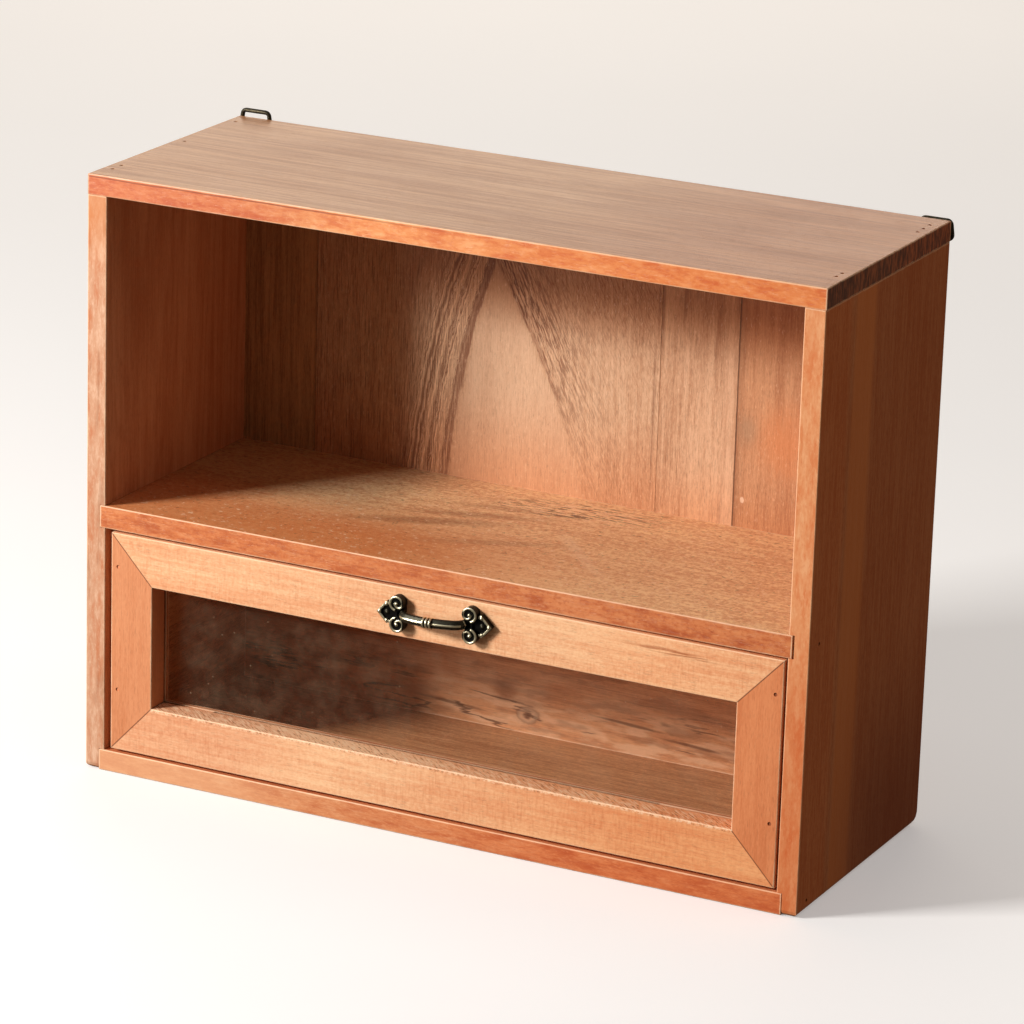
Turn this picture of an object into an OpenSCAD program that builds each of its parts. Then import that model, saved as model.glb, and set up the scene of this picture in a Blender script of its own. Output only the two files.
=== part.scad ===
// Table-top cabinet: an open shelf above a glass-fronted drawer.
// Boards are housed in dadoes and nailed with brads, the drawer front is a
// mitred frame with a pane in its rebate, and two ring hangers are screwed
// to the rear upper corners.
// Origin at the middle of the underside, +X to the right of someone facing
// the drawer, +Y to the back, +Z up.  Millimetres.

/* [Cabinet] */
// Overall width over the side panels
cabinet_w = 400; // [340:1:600]
// Overall depth of the boards, without handle and hangers
cabinet_d = 151; // [135:1:260]
// Overall height of the boards
cabinet_h = 314; // [270:1:450]
// Clear height of the drawer bay
bay_h = 119.5; // [100:0.5:150]

/* [Boards] */
// Thickness of the side panels
side_t = 11; // [10:0.5:16]
// Thickness of the top
top_t = 10.7; // [9:0.1:16]
// Thickness of the middle shelf
shelf_t = 11.8; // [9:0.1:16]
// Thickness of the bottom board
bottom_t = 11.2; // [9:0.1:16]
// Thickness of the back boards
back_t = 10.7; // [9:0.1:14]
// Radius worn onto the long arrises
arris_r = 0.6; // [0.3:0.1:1.2]
// Radius of the side panels' front lower corners
foot_front_r = 3; // [1:0.5:8]
// Radius of the side panels' rear lower corners
foot_rear_r = 9; // [1:0.5:12]
// Radius of the side panels' outer lower arrises
foot_side_r = 3.2; // [0.5:0.1:4]
// Depth of the dadoes that house shelf and bottom
dado_depth = 3; // [2:0.5:5]
// Height that a dado leaves above its board
dado_play = 0.2; // [0:0.1:0.5]
// Gap between the shelf's right end and its dado
shelf_end_gap = 1.2; // [0:0.1:1.6]
// Gap between the bottom board's right end and its dado
bottom_end_gap = 0.5; // [0:0.1:1.6]
// Width of the first back board, counted from the left
back_w_first = 43; // [30:1:60]
// Width of the third back board
back_w_third = 43; // [30:1:60]
// Width of the fourth back board
back_w_fourth = 94; // [60:1:110]
// Open joint between two back boards
back_joint = 0.2; // [0:0.05:0.5]

/* [Drawer] */
// Gap between the bay and the drawer on the left
gap_left = 3.8; // [1:0.1:5]
// Gap between the bay and the drawer on the right
gap_right = 1.4; // [0.6:0.1:5]
// Gap above the drawer front
gap_top = 1.4; // [0.8:0.1:4]
// Gap below the drawer front
gap_below = 1.8; // [0.8:0.1:3]
// Running clearance under the drawer sides
run_gap = 0.3; // [0.1:0.05:0.6]
// Gap between the drawer sides' rear ends and the back boards
rear_gap = 0.5; // [0.3:0.1:3]
// How far the drawer sides run on past the drawer's back, as its stops
back_inset = 6.8; // [0:0.2:16]
// Thickness of the drawer's front frame
front_t = 17; // [15:0.5:22]
// Width of the frame's upright members
stile_w = 24; // [18:0.5:34]
// Width of the frame's level members
rail_w = 25.6; // [22:0.2:32]
// Thickness of the drawer sides
drawer_side_t = 8; // [6:0.5:12]
// Thickness of the drawer's back
drawer_back_t = 9; // [6:0.5:12]
// Thickness of the drawer's bottom panel
drawer_bottom_t = 4; // [3:0.5:6]
// Height that the drawer sides stop below the front's top edge
side_drop = 3.4; // [1:0.2:10]
// Height that the drawer's back stops below the sides' top edges
back_drop = 4; // [1:0.5:12]
// How far the bottom panel is let into each drawer side
bottom_let_in = 4; // [3:0.5:5]
// Height of the bottom panel's underside above the sides' lower edges
bottom_recess = 0.5; // [0.2:0.1:1.5]

/* [Glazing] */
// Depth from the frame's face to the glass
glass_setback = 12.3; // [9:0.1:12.6]
// Thickness of the glass
glass_t = 2; // [1.6:0.1:2.2]
// Width of the rebate around the window
rebate_w = 5; // [3:0.5:8]
// Room left between the pane and the rebate
glass_play = 0.5; // [0.2:0.1:1]

/* [Brads] */
// Shank radius of a brad
brad_r = 0.6; // [0.4:0.05:0.8]
// Head radius of a brad
brad_head_r = 0.95; // [0.8:0.05:1.1]
// Head thickness of a brad
brad_head_h = 0.7; // [0.4:0.1:1]
// Depth that a head is set below the surface
brad_set = 0.5; // [0.2:0.1:1]
// Length of the cabinet's brads
brad_l = 24; // [20:1:28]
// Length of the drawer's brads
drawer_brad_l = 22; // [18:1:24]
// Length of the pins under the drawer's bottom panel
panel_pin_l = 12; // [8:1:16]
// Radial clearance of every nail, pin and screw in its hole
nail_fit = 0.04; // [0.02:0.01:0.08]
// Free depth below a nail's tip
tip_gap = 0.5; // [0.2:0.1:1]
// Distance from the front face to the first brads in the left end of the top
brads_left_front = [14.5, 23]; // [10:0.5:40]
// Distance from the rear face to the last brads in the left end of the top
brads_left_rear = [14, 66]; // [10:0.5:70]
// Distance from the front face to the first brads in the right end of the top
brads_right_front = [23, 29.5]; // [10:0.5:40]
// Distance from the rear face to the last brads in the right end of the top
brads_right_rear = [13.5, 22, 29.5]; // [10:0.5:70]
// Distance from the front face to the brads in the ends of shelf and bottom
brads_end_front = 11.5; // [9:0.5:30]
// Distance from the edges of a back board to its brads
brads_back_edge = 12; // [8:0.5:14]
// Height of a stile's lower brad above the drawer front's lower edge
brads_front_low = 32.6; // [20:0.2:45]
// Distance of a stile's upper brad below the drawer front's upper edge
brads_front_high = 17.8; // [10:0.2:30]
// Distance from the upper and lower edges of the drawer's back to its brads
brads_drawer_back = 21; // [8:1:28]
// Distance between the pins under the drawer's bottom panel
panel_pin_pitch = 119; // [80:1:125]

/* [Handle] */
// Distance between the two pins
pin_span = 52.8; // [48:0.2:60]
// Distance between the centres of the left and right scrolls
scroll_span = 40.4; // [38:0.2:44]
// Height between the centres of an upper and a lower scroll
scroll_rise = 10.8; // [10:0.2:13]
// Radius of a scroll over its bead
scroll_r = 4.2; // [3.6:0.1:4.8]
// Height of a scroll's drum above the drawer front
scroll_h = 4.2; // [3:0.1:5]
// Radius of the bead that forms the scrolls
scroll_bead_r = 0.75; // [0.5:0.05:0.9]
// How far that bead stands out past the drum's side
scroll_lip = 0.25; // [0.1:0.05:0.4]
// Radius of the bead's last half turn
scroll_inner_r = 2.1; // [1.8:0.1:2.4]
// Radius of the round eye in the middle of a scroll
scroll_eye_r = 1; // [0.8:0.05:1.2]
// Half the width of an end plate between its scrolls
plate_half_w = 3.6; // [3:0.1:4.2]
// Thickness of the end plates
plate_t = 2.4; // [1.6:0.1:3]
// Half the height of a lobe, across its corners
lobe_half_h = 5.7; // [5:0.1:7]
// Half the height of a lobe where it leaves the scrolls
lobe_neck_half_h = 3.7; // [2.5:0.1:4.5]
// Distance from a pin to the outer tip of its lobe
lobe_tip = 5.4; // [5:0.1:8]
// Height of the raised edge around a lobe
lobe_rim_h = 1; // [0.4:0.1:1.4]
// Width of the raised edge around a lobe
lobe_rim_w = 1.1; // [0.8:0.1:1.4]
// Radius of the beads on a lobe's three corners
lobe_bead_r = 1.05; // [0.8:0.05:1.2]
// Span of the bow between the centres of its feet
bow_span = 35; // [32:0.5:38]
// Distance from the drawer front to the bow's centre line at the middle
bow_rise = 9.6; // [8:0.2:14]
// Radius of the bends where the bow leaves the plates
bow_bend_r = 6.5; // [5:0.5:7.5]
// How deep the bow's ends are let into the plates
bow_sink = 0.8; // [0.4:0.1:1.2]
// Height of the bow's section
bow_w = 5; // [4:0.1:6]
// Depth of the bow's section
bow_t = 3.6; // [3:0.1:4.4]
// Radius of the collar's core
collar_core_r = 2.1; // [1.8:0.1:2.6]
// Radius of the three beads of the collar
collar_bead_r = 0.8; // [0.6:0.05:1]
// Distance between the beads of the collar
collar_pitch = 1.9; // [1.8:0.1:2.6]
// How far the handle is fixed out of level, in degrees
handle_tilt = 1.8; // [-3:0.2:3]
// How far the handle is fixed above the middle of the top rail
handle_up = 0.8; // [-2:0.1:2]
// Shank radius of a handle pin
pin_r = 0.8; // [0.6:0.05:1]
// Head radius of a handle pin
pin_head_r = 1.7; // [1.4:0.1:2]
// Length of a handle pin under its head
pin_l = 13; // [9:0.5:14]

/* [Hangers] */
// Distance from a side panel's outer face to the middle of its hanger
hanger_inset = 8.5; // [7:0.1:9]
// Height of the left ring's pivot below the top face
hanger_drop_left = 6.4; // [5.5:0.1:12]
// Height of the right ring's pivot below the top face
hanger_drop_right = 10; // [5.5:0.1:12]
// Width of a hanger plate
hanger_w = 9; // [8:0.5:11]
// Length of a hanger plate below the pivot
hanger_l = 27; // [22:0.5:34]
// Radius of a hanger plate's lower corners
hanger_corner_r = 3.5; // [1:0.5:3.5]
// Thickness of a hanger plate
hanger_t = 1; // [0.8:0.1:1.4]
// Wire radius of a ring
wire_r = 1.15; // [0.9:0.05:1.3]
// Clearance between the wire and the rolled eye
eye_play = 0.08; // [0.03:0.01:0.1]
// Width of a ring at its pivot, over the wire
ring_w = 20; // [18:0.5:22]
// Width of a ring at its free end, over the wire
ring_end_w = 17.5; // [14:0.5:20]
// Height of a ring over the wire
ring_h = 11.5; // [10:0.5:15]
// Bend radius of a ring's corners, at the middle of the wire
ring_bend_r = 2.2; // [1.8:0.1:3]
// How much thinner the wire is in its bends, where it stretches
bend_thin = 0.03; // [0.02:0.01:0.08]
// Shank radius of a hanger screw
screw_r = 1.1; // [0.9:0.1:1.3]
// Head radius of a hanger screw
screw_head_r = 2.3; // [2:0.1:2.8]
// Head height of a hanger screw
screw_head_h = 1.3; // [1:0.1:1.8]
// Width and depth of a screw's slot
screw_slot = 0.6; // [0.4:0.1:0.8]
// Length of a hanger screw under its head
screw_l = 14; // [10:1:20]
// Distance from the pivot to the upper screw
screw_first = 8; // [7:0.5:10]
// Distance between the two screws of a plate
screw_pitch = 12; // [9:0.5:15]

/* [Hidden] */
$fn = 40;

// Overshoot of a cut past the face it opens
cut = 1;
// Colours
timber = [0.83, 0.55, 0.35];
timber_top = [0.74, 0.57, 0.42];
timber_dark = [0.55, 0.33, 0.19];
timber_pale = [0.90, 0.66, 0.46];
bronze = [0.36, 0.32, 0.22];
steel = [0.25, 0.22, 0.19];
pane = [0.75, 0.85, 0.85, 0.35];

// Cabinet planes
front_y = -cabinet_d / 2;
rear_y = cabinet_d / 2;
inner_w = cabinet_w - 2 * side_t;
side_h = cabinet_h - top_t;
bay_top_z = bottom_t + bay_h;
shelf_z = bay_top_z + shelf_t;
back_y = rear_y - back_t;
shelf_d = back_y - front_y;
shelf_l = inner_w + 2 * dado_depth - shelf_end_gap;
bottom_l = inner_w + 2 * dado_depth - bottom_end_gap;
housed_x = -inner_w / 2 - dado_depth;

// Back boards: the second one takes what the others leave
back_w_second = inner_w - back_w_first - back_w_third - back_w_fourth;
back_w = [back_w_first, back_w_second, back_w_third, back_w_fourth];
function back_x(i) = i == 0 ? -inner_w / 2 : back_x(i - 1) + back_w[i - 1];

// Drawer: its own frame has its middle at x = 0 and its face at y = 0
drawer_w = inner_w - gap_left - gap_right;
drawer_x = (gap_left - gap_right) / 2;
face_z = bottom_t + gap_below;
face_top_z = bay_top_z - gap_top;
drawer_l = shelf_d - rear_gap;
run_z = bottom_t + run_gap;
drawer_side_h = face_top_z - side_drop - run_z;
drawer_side_l = drawer_l - front_t;
drawer_box_l = drawer_l - back_inset;
drawer_back_y = drawer_box_l - drawer_back_t;
drawer_inner_w = drawer_w - 2 * drawer_side_t;
panel_z = run_z + bottom_recess;
panel_top_z = panel_z + drawer_bottom_t;
drawer_back_h = drawer_side_h - back_drop - (panel_top_z - run_z);
window_w = drawer_w - 2 * stile_w;
window_z = face_z + rail_w;
window_top_z = face_top_z - rail_w;
bead_t = front_t - glass_setback - glass_t;

// Height of the handle's middle
handle_z = face_top_z - rail_w / 2 + handle_up;
// How much thinner a scroll's bead is in its last half turn
bead_taper = 0.07;
// How much thinner the bow is in its end bends, and how many degrees these
// run on inside its middle part
bow_taper = 0.08;
bow_overlap = 2;
// The bow's section from its back to its ridge, as shares of half its depth
// and half its height
bow_profile = [[-0.75, 0.6], [-0.3, 1], [0.35, 0.88], [0.75, 0.4], [1, 0]];
bow_turn = 2 * atan((bow_rise + bow_sink - plate_t - bow_bend_r) / (bow_span / 2 - bow_bend_r));
bow_r = bow_bend_r + (bow_span / 2 - bow_bend_r) / sin(bow_turn);

// Hangers
eye_r = wire_r + eye_play + hanger_t;
hanger_x = cabinet_w / 2 - hanger_inset;
left_pivot_z = cabinet_h - hanger_drop_left;
right_pivot_z = cabinet_h - hanger_drop_right;
// The middle of a ring's wire: four corners, the pivot's bar first
ring_half = ring_w / 2 - wire_r;
ring_end_half = ring_end_w / 2 - wire_r;
ring_rise = ring_h - 2 * wire_r;
ring_path = [[-ring_half, 0], [ring_half, 0], [ring_end_half, ring_rise], [-ring_end_half, ring_rise]];

// ---------- profiles and placing ----------

// Points of an arc about [x, y]
function arc(x, y, r, from, to, steps) =
    [for (i = [0:steps]) let (a = from + (to - from) * i / steps)
        [x + r * cos(a), y + r * sin(a)]];

// One corner of a rectangle: a point, or a quarter round
function corner(x, y, r, from) =
    r == 0 ? [[x, y]] : arc(x, y, r, from, from + 90, max(3, ceil(r)));

// A w by h rectangle from the origin, with corner radii r in the order
// lower left, lower right, upper right, upper left
function eased(w, h, r) = concat(
    corner(r[0], r[0], r[0], 180), corner(w - r[1], r[1], r[1], 270),
    corner(w - r[2], h - r[2], r[2], 0), corner(r[3], h - r[3], r[3], 90));

// Extrude a profile drawn in Y and Z along +X
module along_x(l) {
    rotate([90, 0, 90]) linear_extrude(l) children();
}

// Extrude a profile drawn in X and Z along +Y
module along_y(l) {
    translate([0, l, 0]) rotate([90, 0, 0]) linear_extrude(l) children();
}

// Turn a shape built on the XY plane so that it stands on the drawer's face
module on_face() {
    rotate([90, 0, 0]) children();
}

module in_drawer() {
    translate([drawer_x, front_y, 0]) children();
}

// ---------- nails ----------

// A brad driven down from the surface at the origin, or its hole
module brad(l, hole = false) {
    fit = hole ? nail_fit : 0;
    tip = hole ? tip_gap : 0;
    mouth = hole ? brad_set + cut : 0;
    seat = -brad_set - brad_head_h;
    translate([0, 0, -l - tip]) cylinder(r = brad_r + fit, h = l + tip + seat + brad_head_h / 2);
    translate([0, 0, seat - fit]) cylinder(r = brad_head_r + fit, h = brad_head_h + fit + mouth);
}

// Brads down through the top into the side panels
module top_brad_set(hole = false) {
    at_y = [
        concat([for (d = brads_left_front) front_y + d], [for (d = brads_left_rear) rear_y - d]),
        concat([for (d = brads_right_front) front_y + d], [for (d = brads_right_rear) rear_y - d])
    ];
    for (s = [0, 1])
        for (y = at_y[s])
            translate([(2 * s - 1) * (cabinet_w - side_t) / 2, y, cabinet_h]) brad(brad_l, hole);
}

// Brads through the side panels into the ends of shelf and bottom
module end_brad_set(hole = false) {
    for (s = [-1, 1])
        for (z = [bay_top_z + shelf_t / 2, bottom_t / 2])
            translate([s * cabinet_w / 2, front_y + brads_end_front, z])
                rotate([0, s * 90, 0]) brad(brad_l, hole);
}

// Brads through the back boards into the rear edges of shelf and bottom
module back_brad_set(hole = false) {
    for (i = [0:len(back_w) - 1])
        for (x = [back_x(i) + brads_back_edge, back_x(i) + back_w[i] - brads_back_edge])
            for (z = [bay_top_z + shelf_t / 2, bottom_t / 2])
                translate([x, rear_y, z]) rotate([-90, 0, 0]) brad(brad_l, hole);
}

// Brads through the stiles into the front ends of the drawer sides
module front_brad_set(hole = false) {
    for (s = [-1, 1])
        for (z = [face_z + brads_front_low, face_top_z - brads_front_high])
            translate([s * (drawer_w - drawer_side_t) / 2, 0, z])
                rotate([90, 0, 0]) brad(drawer_brad_l + front_t / 2, hole);
}

// Brads through the drawer sides into the ends of the drawer's back
module drawer_back_brad_set(hole = false) {
    for (s = [-1, 1])
        for (z = [panel_top_z + brads_drawer_back, panel_top_z + drawer_back_h - brads_drawer_back])
            translate([s * drawer_w / 2, drawer_back_y + drawer_back_t / 2, z])
                rotate([0, s * 90, 0]) brad(drawer_brad_l, hole);
}

// Pins up through the bottom panel into the drawer's back
module panel_pin_set(hole = false) {
    for (s = [-1, 0, 1])
        translate([s * panel_pin_pitch, drawer_back_y + drawer_back_t / 2, panel_z])
            rotate([180, 0, 0]) brad(panel_pin_l, hole);
}

module top_brads() { color(steel) top_brad_set(); }
module end_brads() { color(steel) end_brad_set(); }
module back_brads() { color(steel) back_brad_set(); }
module front_brads() { color(steel) in_drawer() front_brad_set(); }
module drawer_back_brads() { color(steel) in_drawer() drawer_back_brad_set(); }
module panel_pins() { color(steel) in_drawer() panel_pin_set(); }

// ---------- carcass ----------

// A side panel for s = -1 (left) or 1 (right)
module side_panel(s) {
    x = s < 0 ? -cabinet_w / 2 : cabinet_w / 2 - side_t;
    outer_r = s < 0 ? [foot_side_r, 0, 0, 0] : [0, foot_side_r, 0, 0];
    dado_x = s < 0 ? x + side_t - dado_depth : x - cut;
    difference() {
        intersection() {
            translate([x, front_y, 0])
                linear_extrude(side_h) polygon(eased(side_t, cabinet_d, arris_r * [1, 1, 1, 1]));
            translate([x - cut, front_y, 0]) along_x(side_t + 2 * cut)
                polygon(eased(cabinet_d, side_h, [foot_front_r, foot_rear_r, 0, 0]));
            translate([x, front_y - cut, 0]) along_y(cabinet_d + 2 * cut)
                polygon(eased(side_t, side_h, outer_r));
        }
        translate([dado_x, front_y - cut, bay_top_z])
            cube([dado_depth + cut, shelf_d + cut, shelf_t + dado_play]);
        translate([dado_x, front_y - cut, -cut])
            cube([dado_depth + cut, shelf_d + cut, bottom_t + dado_play + cut]);
        top_brad_set(true);
        end_brad_set(true);
        screw_set(true);
    }
}

module left_side() { color(timber) side_panel(-1); }
module right_side() { color(timber_dark) side_panel(1); }

// The top laps over both side panels and the back boards
module top_panel() {
    color(timber_top) difference() {
        intersection() {
            translate([-cabinet_w / 2, front_y, side_h])
                along_x(cabinet_w) polygon(eased(cabinet_d, top_t, arris_r * [1, 1, 1, 1]));
            translate([-cabinet_w / 2, front_y - cut, side_h])
                along_y(cabinet_d + 2 * cut) polygon(eased(cabinet_w, top_t, arris_r * [1, 1, 1, 1]));
        }
        top_brad_set(true);
    }
}

// A board housed in the dadoes, flush with the cabinet's face
module housed_board(l, t, z) {
    difference() {
        translate([housed_x, front_y, z])
            along_x(l) polygon(eased(shelf_d, t, arris_r * [1, 0, 0, 1]));
        end_brad_set(true);
        back_brad_set(true);
    }
}

module middle_shelf() { color(timber) housed_board(shelf_l, shelf_t, bay_top_z); }
module bottom_board() { color(timber) housed_board(bottom_l, bottom_t, 0); }

// An upright board of the back, from the floor to the underside of the top
module back_board(i) {
    last = i == len(back_w) - 1;
    color(timber_dark) difference() {
        translate([back_x(i), back_y, 0])
            cube([back_w[i] - (last ? 0 : back_joint), back_t, side_h]);
        back_brad_set(true);
    }
}

// ---------- drawer ----------

// Section of a frame member: x from the outer edge to the window, y from
// the face to the back, with the rebate for the glass at the inner back edge
module frame_section(w) {
    polygon(concat(
        corner(arris_r, arris_r, arris_r, 180), corner(w - arris_r, arris_r, arris_r, 270),
        [[w, glass_setback], [w - rebate_w, glass_setback], [w - rebate_w, front_t], [0, front_t]]));
}

// Half of the frame's outline on one side of its mitres: a rail above
// (s = 1) or below (s = -1) the window
module rail(s) {
    outer_z = s > 0 ? face_top_z : face_z;
    intersection() {
        translate([-drawer_w / 2, 0, outer_z]) rotate([90, 0, 90]) linear_extrude(drawer_w)
            rotate(90) scale([-s, -1]) frame_section(rail_w);
        translate([0, -cut, outer_z]) along_y(front_t + 2 * cut) polygon([
            [-drawer_w / 2, 0], [drawer_w / 2, 0],
            [window_w / 2, -s * rail_w], [-window_w / 2, -s * rail_w]]);
    }
}

module stile(s) {
    intersection() {
        translate([s * drawer_w / 2, 0, face_z])
            linear_extrude(face_top_z - face_z) scale([-s, 1]) frame_section(stile_w);
        translate([s * drawer_w / 2, -cut, 0]) along_y(front_t + 2 * cut) polygon([
            [0, face_z], [0, face_top_z],
            [-s * stile_w, window_top_z], [-s * stile_w, window_z]]);
    }
}

module drawer_top_rail() {
    color(timber_pale) in_drawer() difference() {
        rail(1);
        handle_place() pin_set(true);
        front_brad_set(true);
    }
}

module drawer_bottom_rail() {
    color(timber_pale) in_drawer() rail(-1);
}

module drawer_stile(s) {
    color(timber_pale) in_drawer() difference() {
        stile(s);
        front_brad_set(true);
    }
}

// The pane stands on the lower rebate, behind the frame's shoulder
module glass_pane() {
    w = window_w + 2 * (rebate_w - glass_play);
    h = window_top_z - window_z + 2 * (rebate_w - glass_play);
    color(pane) in_drawer() translate([-w / 2, glass_setback, window_z - rebate_w]) cube([w, glass_t, h]);
}

// Glazing beads fill the rebate behind the pane; the level ones run through
module level_bead(z) {
    l = window_w + 2 * rebate_w;
    color(timber) in_drawer() translate([-l / 2, glass_setback + glass_t, z]) cube([l, bead_t, rebate_w]);
}

module upright_bead(x) {
    color(timber) in_drawer() translate([x, glass_setback + glass_t, window_z])
        cube([rebate_w, bead_t, window_top_z - window_z]);
}

// A drawer side, rebated inside along its lower edge for the bottom panel
module drawer_side(s) {
    color(timber) in_drawer() difference() {
        translate([s > 0 ? drawer_w / 2 - drawer_side_t : -drawer_w / 2, front_t, run_z])
            along_y(drawer_side_l) polygon(eased(drawer_side_t, drawer_side_h, arris_r * [0, 0, 1, 1]));
        translate([s > 0 ? drawer_inner_w / 2 - cut : -drawer_inner_w / 2 - bottom_let_in,
                   front_t - cut, run_z - cut])
            cube([bottom_let_in + cut, drawer_side_l + 2 * cut, panel_top_z - run_z + cut]);
        front_brad_set(true);
        drawer_back_brad_set(true);
    }
}

module drawer_back() {
    color(timber) in_drawer() difference() {
        translate([-drawer_inner_w / 2, drawer_back_y, panel_top_z]) along_x(drawer_inner_w)
            polygon(eased(drawer_back_t, drawer_back_h, arris_r * [0, 0, 1, 1]));
        drawer_back_brad_set(true);
        panel_pin_set(true);
    }
}

module drawer_bottom() {
    w = drawer_inner_w + 2 * bottom_let_in;
    color(timber) in_drawer() difference() {
        translate([-w / 2, front_t, panel_z]) cube([w, drawer_box_l - front_t, drawer_bottom_t]);
        panel_pin_set(true);
    }
}

// ---------- handle ----------

module handle_place() {
    translate([0, 0, handle_z]) rotate([0, -handle_tilt, 0]) children();
}

// The domed pins at both ends of the handle, or their holes
module pin_set(hole = false) {
    fit = hole ? nail_fit : 0;
    tip = hole ? tip_gap : 0;
    for (s = [-1, 1])
        translate([s * pin_span / 2, 0, 0]) on_face() {
            translate([0, 0, plate_t - pin_l - tip])
                cylinder(r = pin_r + fit, h = pin_l + tip + (hole ? cut : 0));
            if (!hole) pin_head();
        }
}

// A low dome standing on the plate
module pin_head() {
    dome_h = pin_head_r / 2;
    dome_r = (pin_head_r * pin_head_r + dome_h * dome_h) / (2 * dome_h);
    translate([0, 0, plate_t]) intersection() {
        translate([0, 0, dome_h - dome_r]) sphere(dome_r);
        cylinder(r = pin_head_r, h = dome_h);
    }
}

// Corners of a lobe around its pin, drawn in by inset; the three pointed
// corners draw in by more, as far as their slanting edges do
function lobe_points(inset) =
    let (x = scroll_span / 2 + inset, point = inset * sqrt(2), top = lobe_half_h - point) [
        [pin_span / 2 + lobe_tip - point, 0], [pin_span / 2, top], [x, lobe_neck_half_h],
        [x, -lobe_neck_half_h], [pin_span / 2, -top]];

// One end of the handle, drawn for the right side and seen from the front
module end_plate() {
    translate([scroll_span / 2 - plate_half_w, -scroll_rise / 2, 0])
        cube([plate_half_w * 2, scroll_rise, plate_t]);
    difference() {
        linear_extrude(plate_t + lobe_rim_h) polygon(lobe_points(0));
        translate([0, 0, plate_t]) linear_extrude(lobe_rim_h + cut) polygon(lobe_points(lobe_rim_w));
    }
    for (i = [0, 1, 4])
        translate(concat(lobe_points(lobe_bead_r)[i], plate_t + lobe_rim_h / 2)) sphere(lobe_bead_r);
    for (s = [0, 1])
        mirror([0, s, 0]) translate([scroll_span / 2, scroll_rise / 2, 0]) scroll();
}

// A scroll: a drum whose bead winds in, by a wide turn and a half turn, to a
// round eye; the half turn is a little thinner
module scroll() {
    outer = scroll_r - scroll_bead_r;
    cylinder(r = scroll_r - scroll_lip, h = scroll_h);
    translate([0, 0, scroll_h]) {
        rotate(-80) rotate_extrude(angle = 268) translate([outer, 0]) circle(scroll_bead_r, $fn = 20);
        rotate(180) translate([outer - scroll_inner_r, 0, 0]) rotate_extrude(angle = 180)
            translate([scroll_inner_r, 0]) circle(scroll_bead_r - bead_taper, $fn = 20);
        sphere(scroll_eye_r);
    }
}

// Section of the bow: flat towards the drawer, ridged towards the hand
module bow_section(taper = 0) {
    half = [for (p = bow_profile) [p[0] * (bow_t - taper) / 2, p[1] * (bow_w - taper) / 2]];
    lower = [for (i = [len(half) - 2:-1:0]) [half[i][0], -half[i][1]]];
    polygon(concat(half, lower));
}

// Three arcs joined in line: a wide one across the middle, and a tight one of
// slightly thinner section down to each foot
module bow() {
    translate([0, bow_r - bow_rise, 0]) rotate(-90 - bow_turn)
        rotate_extrude(angle = 2 * bow_turn) translate([bow_r, 0]) bow_section();
    for (s = [0, 1]) mirror([s, 0, 0])
        translate([bow_span / 2 - bow_bend_r, bow_sink - plate_t, 0])
            rotate(-90 + bow_turn - bow_overlap) rotate_extrude(angle = 90 - bow_turn + bow_overlap)
                translate([bow_bend_r, 0]) bow_section(bow_taper);
}

// Three beads on a short core round the middle of the bow
module collar() {
    translate([0, -bow_rise, 0]) rotate([0, 90, 0]) {
        translate([0, 0, -collar_pitch - collar_bead_r])
            cylinder(r = collar_core_r, h = 2 * (collar_pitch + collar_bead_r));
        for (i = [-1:1])
            translate([0, 0, i * collar_pitch])
                rotate_extrude() translate([collar_core_r, 0]) circle(collar_bead_r, $fn = 20);
    }
}

module handle() {
    color(bronze) in_drawer() handle_place() {
        difference() {
            union() {
                for (s = [0, 1]) mirror([s, 0, 0]) on_face() end_plate();
                bow();
                collar();
            }
            pin_set(true);
        }
    }
}

module handle_pins() {
    color(bronze) in_drawer() handle_place() pin_set();
}

// ---------- hangers ----------

// Height of the pivot for s = -1 (left) or 1 (right)
function pivot_z(s) = s < 0 ? left_pivot_z : right_pivot_z;

module at_pivot(s) {
    translate([s * hanger_x, rear_y + eye_r, pivot_z(s)]) children();
}

// The round-headed screws of both plates, or their holes
module screw_set(hole = false) {
    for (s = [-1, 1])
        for (i = [0, 1])
            at_pivot(s) translate([0, hanger_t - eye_r, -screw_first - i * screw_pitch])
                rotate([-90, 0, 0]) screw(hole);
}

module screw(hole) {
    fit = hole ? nail_fit : 0;
    tip = hole ? tip_gap : 0;
    translate([0, 0, -screw_l - tip]) cylinder(r = screw_r + fit, h = screw_l + tip + (hole ? cut : 0));
    if (!hole) difference() {
        translate([0, 0, screw_head_h - screw_head_r]) intersection() {
            sphere(screw_head_r);
            translate([-screw_head_r, -screw_head_r, screw_head_r - screw_head_h])
                cube(2 * screw_head_r);
        }
        translate([-screw_head_r, -screw_slot / 2, screw_head_h - screw_slot])
            cube([2 * screw_head_r, screw_slot, screw_slot + cut]);
    }
}

module hanger_screws() {
    color(steel) screw_set();
}

// A plate whose upper end is rolled into an eye around the ring's wire
module hanger(s) {
    color(bronze) difference() {
        at_pivot(s) {
            translate([-hanger_w / 2, 0, 0]) rotate([0, 90, 0]) cylinder(r = eye_r, h = hanger_w);
            translate([-hanger_w / 2, -eye_r, -hanger_l]) along_y(hanger_t)
                polygon(eased(hanger_w, hanger_l, hanger_corner_r * [1, 1, 0, 0]));
        }
        at_pivot(s) translate([-hanger_w / 2 - cut, 0, 0]) rotate([0, 90, 0])
            cylinder(r = wire_r + eye_play, h = hanger_w + 2 * cut);
        screw_set(true);
    }
}

// A corner of the middle of a ring's wire
function ring_corner(i) = ring_path[i % 4];

// Direction of the bar that leaves corner i, and the turn that the wire makes there
function heading(i) =
    let (d = ring_corner(i + 1) - ring_corner(i)) atan2(d[1], d[0]);
function turn(i) = (heading(i) - heading(i + 3) + 360) % 360;

// How far a bend reaches along the bars on both sides of corner i
function reach(i) = ring_bend_r * tan(turn(i) / 2);

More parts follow.
